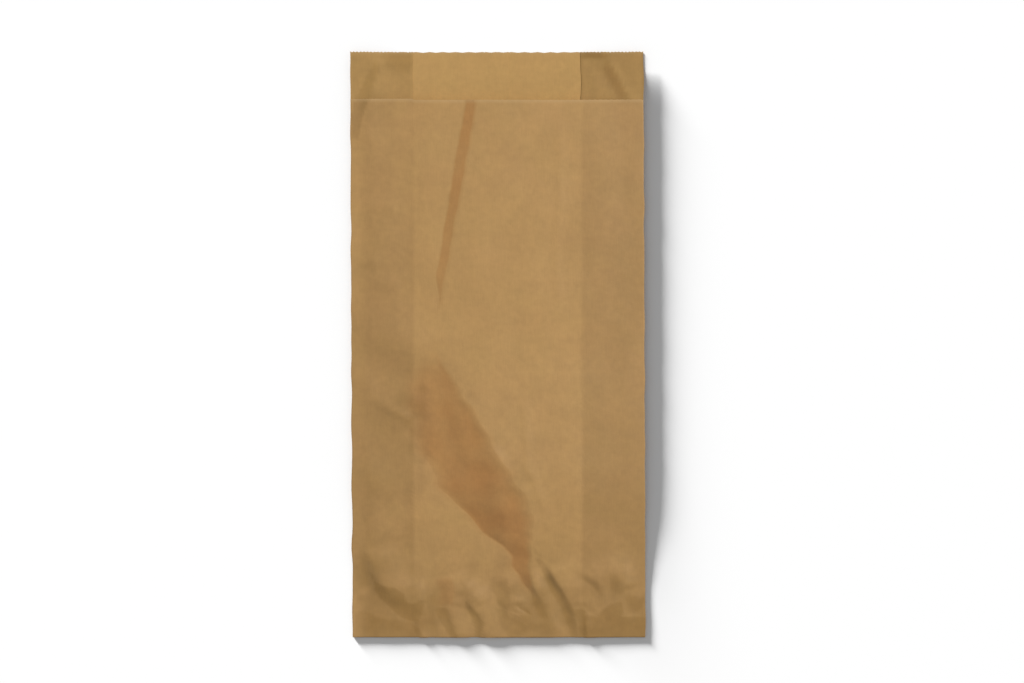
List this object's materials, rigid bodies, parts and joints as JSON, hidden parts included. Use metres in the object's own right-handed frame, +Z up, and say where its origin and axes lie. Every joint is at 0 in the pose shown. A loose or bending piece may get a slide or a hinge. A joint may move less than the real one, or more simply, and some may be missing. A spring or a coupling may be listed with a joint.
{
  "type": "gusseted paper bag",
  "caption": "Flat brown paper bag with side gussets, a folded and pasted bottom, and a toothed mouth whose back stands above its front.",
  "frame": {"origin": "on the ground, under the middle of the bag's bounding box as it lies on its back", "axes": "+X across the bag, +Y up its height from the bottom fold to the mouth, +Z up from the ground through the back panel to the front panel"},
  "size_m": [0.15, 0.3, 0.0097],
  "materials": {
    "kraft_paper": "matte"
  },
  "bodies": {
    "root": {"paper_bag": "kraft_paper"}
  },
  "joints": []
}
